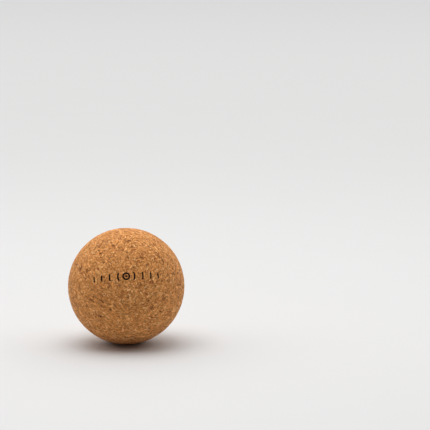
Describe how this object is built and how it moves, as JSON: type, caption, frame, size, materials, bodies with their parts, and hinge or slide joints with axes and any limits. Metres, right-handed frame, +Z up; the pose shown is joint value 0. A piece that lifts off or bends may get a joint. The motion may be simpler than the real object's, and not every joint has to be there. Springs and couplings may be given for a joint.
{
  "type": "massage ball",
  "caption": "Solid round ball of agglomerated cork with a flush printed ripple mark, for rolling under the body to press on muscle and fascia.",
  "frame": {"origin": "centre of the ball", "axes": "+Z up as the ball lies at rest, -Y towards the printed side, +X to the right of someone facing the print"},
  "size_m": [0.11, 0.11, 0.11],
  "materials": {
    "cork": "matte",
    "print_ink": "matte"
  },
  "bodies": {
    "root": {"cork_ball": "cork", "print_dot": "print_ink", "print_ring": "print_ink", "print_ripple_left_1": "print_ink", "print_ripple_left_2": "print_ink", "print_ripple_left_3": "print_ink", "print_ripple_left_4": "print_ink", "print_ripple_right_1": "print_ink", "print_ripple_right_2": "print_ink", "print_ripple_right_3": "print_ink", "print_ripple_right_4": "print_ink"}
  },
  "joints": []
}
